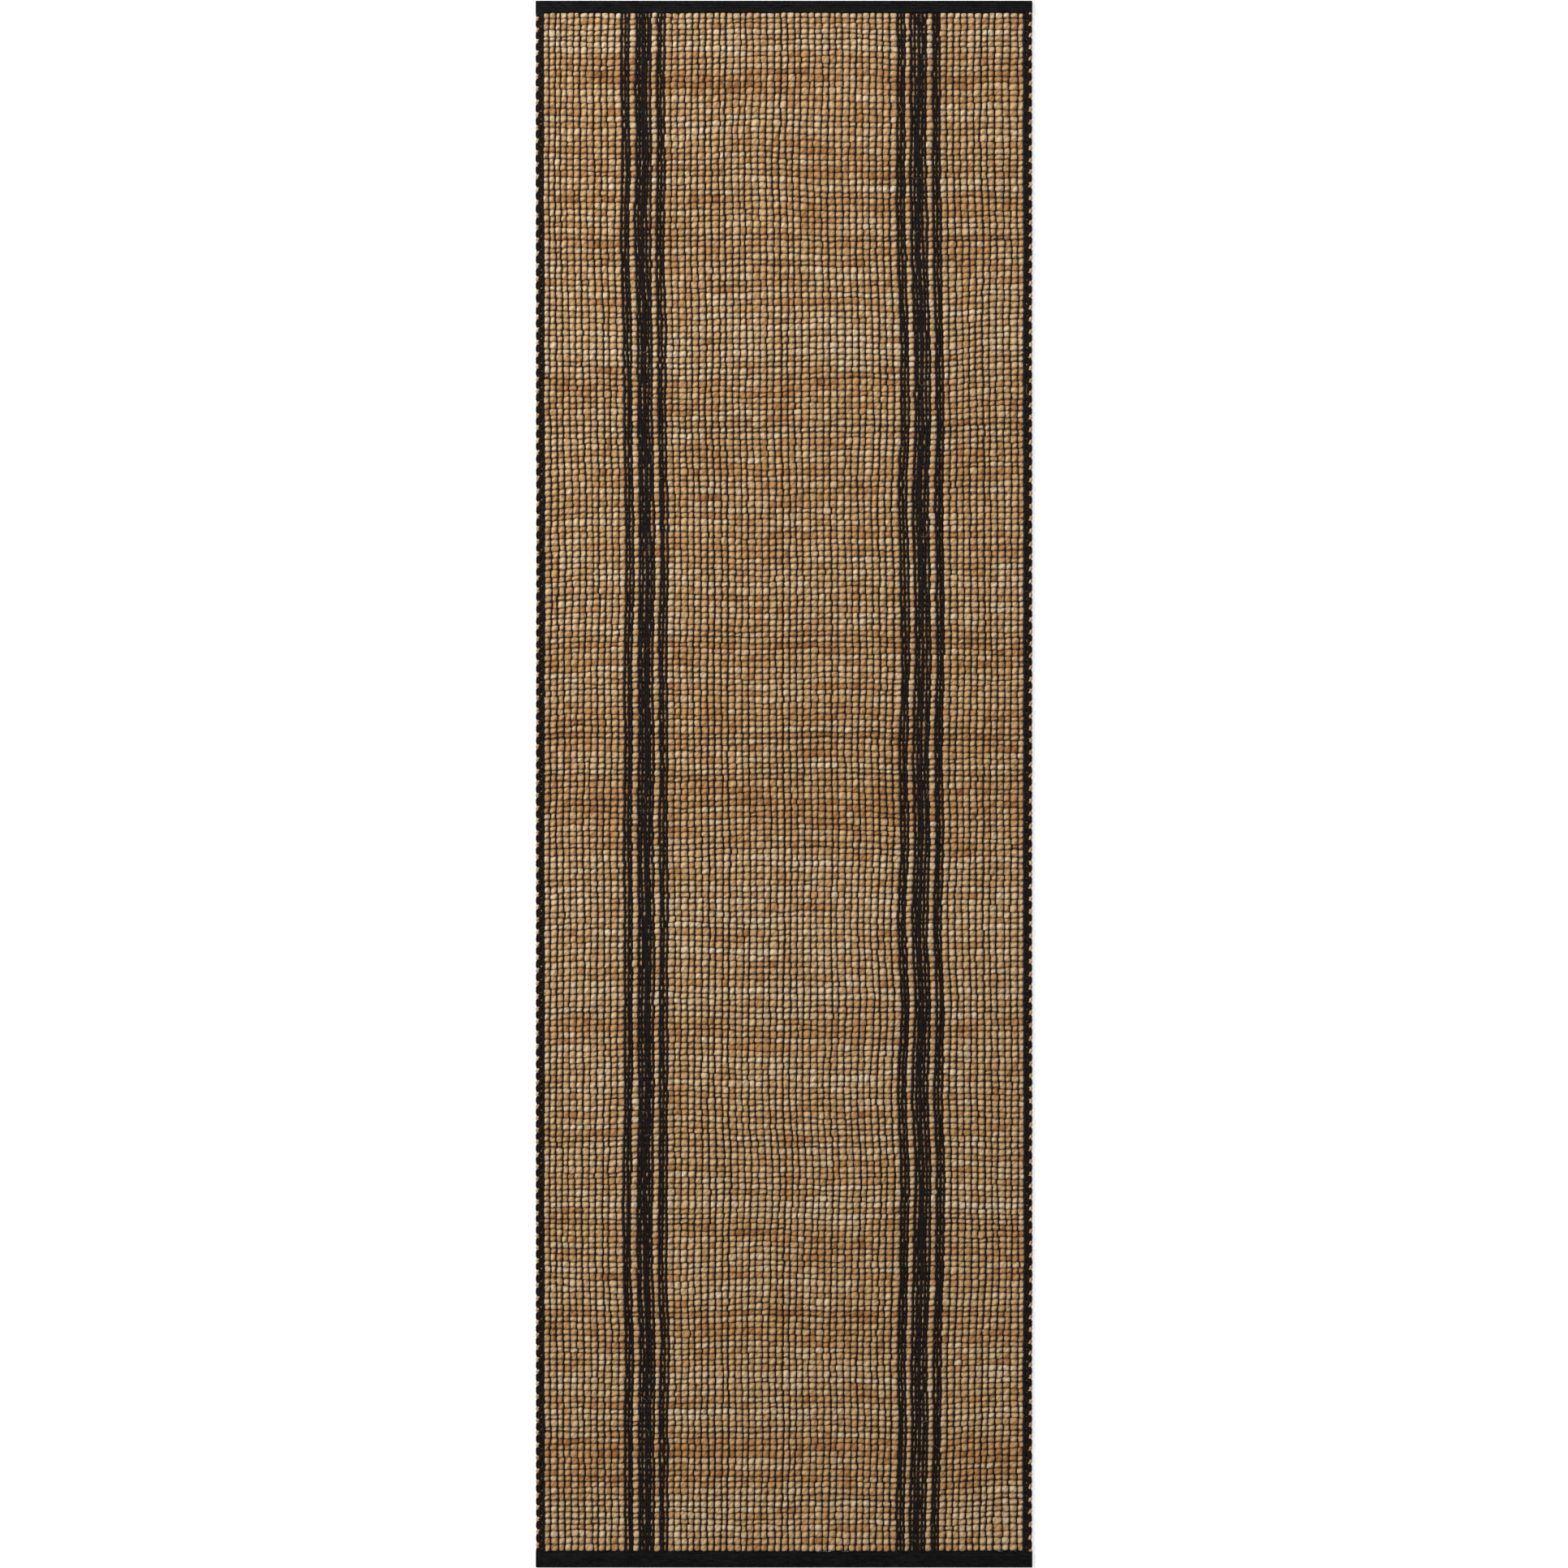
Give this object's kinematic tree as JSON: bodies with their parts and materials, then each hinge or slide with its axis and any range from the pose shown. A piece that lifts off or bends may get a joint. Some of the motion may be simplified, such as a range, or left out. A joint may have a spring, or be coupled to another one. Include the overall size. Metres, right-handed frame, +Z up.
{
  "type": "runner rug",
  "caption": "Long narrow flat-woven runner rug: soft jute beads between black cotton warps, black stripe groups, looped selvedges and black tape-bound ends.",
  "frame": {"origin": "on the underside, below the middle of the rug", "axes": "+X across the rug to the right, +Y along the rug towards the head end, +Z up out of the face"},
  "size_m": [0.762, 2.405, 0.009],
  "materials": {
    "jute": "matt, slubby natural jute roving",
    "black_cotton": "matt, fluffy black cotton yarn",
    "black_stripe_cord": "matt, fluffy thick black cotton yarn",
    "black_tape": "matt, ribbed woven cotton tape",
    "black_thread": "slight sheen, twisted sewing thread"
  },
  "bodies": {
    "root": {"jute_weft": "jute", "binder_weft": "black_cotton", "face_warps_left": "black_cotton", "face_warps_centre": "black_cotton", "face_warps_right": "black_cotton", "back_warps_left": "black_cotton", "back_warps_centre": "black_cotton", "back_warps_right": "black_cotton", "outer_stripe_left": "black_stripe_cord", "middle_stripe_left": "black_stripe_cord", "inner_stripe_left": "black_stripe_cord", "outer_stripe_right": "black_stripe_cord", "middle_stripe_right": "black_stripe_cord", "inner_stripe_right": "black_stripe_cord", "selvedge_cords_left": "black_stripe_cord", "selvedge_cords_right": "black_stripe_cord", "hem_tape_head": "black_tape", "hem_tape_foot": "black_tape", "hem_thread_face_head": "black_thread", "hem_thread_back_head": "black_thread", "hem_thread_face_foot": "black_thread", "hem_thread_back_foot": "black_thread"}
  },
  "joints": []
}
